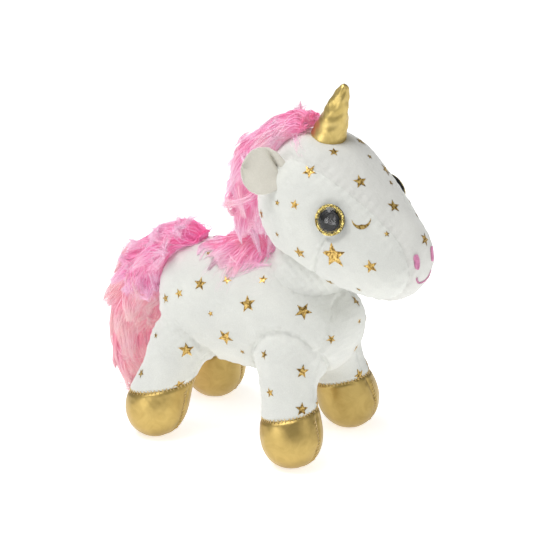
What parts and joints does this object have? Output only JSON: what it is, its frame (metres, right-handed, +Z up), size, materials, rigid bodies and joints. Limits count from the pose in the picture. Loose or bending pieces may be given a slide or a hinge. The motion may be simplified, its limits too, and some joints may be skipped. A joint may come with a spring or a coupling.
{
  "type": "plush unicorn",
  "caption": "Standing plush unicorn with gold boots and horn, faux-fur mane and tail, folded ears and safety eyes; head, ears, horn, legs and tail bend by hand.",
  "frame": {"origin": "on the ground under the middle of the whole toy, between the four hooves", "axes": "+X towards the nose, +Y towards the unicorn's left, +Z up"},
  "size_m": [0.2336, 0.1176, 0.2546],
  "materials": {
    "velour_white": "short-pile velour printed with small gold foil stars and moons",
    "velour_blaze": "the same velour with its pile lying the other way, so it looks greyer",
    "ear_lining": "smooth cream velour",
    "gold_foil_fabric": "metallic gold coated fabric, slightly crinkled",
    "pink_faux_fur": "long-pile faux fur, hot pink to pale pink at the tips",
    "woven_backing": "woven strip that carries the fur pile",
    "polyester_fibre": "loose polyester fibre filling",
    "pink_thread": "satin-stitch embroidery thread",
    "clear_plastic": "clear glossy plastic dome",
    "glitter_gold": "gold glitter printed under the dome",
    "black_plastic": "glossy black",
    "moulded_nylon": "unpainted moulded plastic"
  },
  "bodies": {
    "torso": {"belly_gusset": "velour_white", "torso_left_panel": "velour_white", "torso_right_panel": "velour_white", "torso_stuffing": "polyester_fibre", "withers_backing": "woven_backing", "withers_fur": "pink_faux_fur"},
    "neck": {"neck_cover": "velour_white", "neck_stuffing": "polyester_fibre"},
    "head": {"head_gusset": "velour_blaze", "head_left_panel": "velour_white", "head_right_panel": "velour_white", "head_stuffing": "polyester_fibre", "left_eye_dome": "clear_plastic", "left_eye_glitter_ring": "glitter_gold", "left_eye_pupil": "black_plastic", "left_eye_shank": "moulded_nylon", "left_eye_washer": "moulded_nylon", "mane_backing": "woven_backing", "mane_fur": "pink_faux_fur", "mouth_stitching": "pink_thread", "nostril_stitching": "pink_thread", "right_eye_dome": "clear_plastic", "right_eye_glitter_ring": "glitter_gold", "right_eye_pupil": "black_plastic", "right_eye_shank": "moulded_nylon", "right_eye_washer": "moulded_nylon"},
    "horn": {"horn_cover": "gold_foil_fabric", "horn_stuffing": "polyester_fibre"},
    "ear_left": {"ear_left_inner_panel": "ear_lining", "ear_left_outer_panel": "velour_white"},
    "ear_right": {"ear_right_inner_panel": "ear_lining", "ear_right_outer_panel": "velour_white"},
    "leg_front_left": {"front_left_inner_boot_panel": "gold_foil_fabric", "front_left_inner_shin_panel": "velour_white", "front_left_outer_boot_panel": "gold_foil_fabric", "front_left_outer_shin_panel": "velour_white", "front_left_stuffing": "polyester_fibre"},
    "leg_front_right": {"front_right_inner_boot_panel": "gold_foil_fabric", "front_right_inner_shin_panel": "velour_white", "front_right_outer_boot_panel": "gold_foil_fabric", "front_right_outer_shin_panel": "velour_white", "front_right_stuffing": "polyester_fibre"},
    "leg_hind_left": {"hind_left_inner_boot_panel": "gold_foil_fabric", "hind_left_inner_shin_panel": "velour_white", "hind_left_outer_boot_panel": "gold_foil_fabric", "hind_left_outer_shin_panel": "velour_white", "hind_left_stuffing": "polyester_fibre"},
    "leg_hind_right": {"hind_right_inner_boot_panel": "gold_foil_fabric", "hind_right_inner_shin_panel": "velour_white", "hind_right_outer_boot_panel": "gold_foil_fabric", "hind_right_outer_shin_panel": "velour_white", "hind_right_stuffing": "polyester_fibre"},
    "tail_upper": {"tail_upper_fur": "pink_faux_fur", "tail_upper_tape": "woven_backing"},
    "tail_lower": {"tail_lower_fur": "pink_faux_fur", "tail_lower_tape": "woven_backing"}
  },
  "joints": [
    {"name": "neck_turn", "type": "hinge", "parent": "torso", "child": "neck", "pos_m": [0.033, 0, 0.128], "axis": [0, 0, 1], "range_deg": [-25, 25], "stiffness_Nm_per_rad": 0.8},
    {"name": "head_nod", "type": "hinge", "parent": "neck", "child": "head", "pos_m": [0.033, 0, 0.128], "axis": [0.0872, 0.9962, 0], "range_deg": [-10, 8], "stiffness_Nm_per_rad": 0.9},
    {"name": "horn_wobble", "type": "hinge", "parent": "head", "child": "horn", "pos_m": [0.04495, -0.00105, 0.216], "axis": [0.0872, 0.9962, 0], "range_deg": [-12, 12], "stiffness_Nm_per_rad": 0.05},
    {"name": "ear_left_flex", "type": "hinge", "parent": "head", "child": "ear_left", "pos_m": [0.02623, 0.03084, 0.19666], "axis": [0.0327, 0.3732, -0.9272], "range_deg": [-20, 20], "stiffness_Nm_per_rad": 0.02},
    {"name": "ear_right_flex", "type": "hinge", "parent": "head", "child": "ear_right", "pos_m": [0.02098, -0.02919, 0.19666], "axis": [0.0327, 0.3732, 0.9272], "range_deg": [-20, 20], "stiffness_Nm_per_rad": 0.02},
    {"name": "leg_front_left_swing", "type": "hinge", "parent": "torso", "child": "leg_front_left", "pos_m": [0.028, 0.026, 0.07], "axis": [0, 1, 0], "range_deg": [-18, 18], "stiffness_Nm_per_rad": 2},
    {"name": "leg_front_right_swing", "type": "hinge", "parent": "torso", "child": "leg_front_right", "pos_m": [0.028, -0.026, 0.07], "axis": [0, 1, 0], "range_deg": [-18, 18], "stiffness_Nm_per_rad": 2},
    {"name": "leg_hind_left_swing", "type": "hinge", "parent": "torso", "child": "leg_hind_left", "pos_m": [-0.05, 0.026, 0.069], "axis": [0, 1, 0], "range_deg": [-18, 18], "stiffness_Nm_per_rad": 2},
    {"name": "leg_hind_right_swing", "type": "hinge", "parent": "torso", "child": "leg_hind_right", "pos_m": [-0.05, -0.026, 0.069], "axis": [0, 1, 0], "range_deg": [-18, 18], "stiffness_Nm_per_rad": 2},
    {"name": "tail_sway", "type": "hinge", "parent": "torso", "child": "tail_upper", "pos_m": [-0.05, 0, 0.118], "axis": [0, 0, 1], "range_deg": [-18, 18], "stiffness_Nm_per_rad": 0.05},
    {"name": "tail_lift", "type": "hinge", "parent": "tail_upper", "child": "tail_lower", "pos_m": [-0.094, 0, 0.097], "axis": [0, 1, 0], "range_deg": [-4, 40], "stiffness_Nm_per_rad": 0.08}
  ]
}
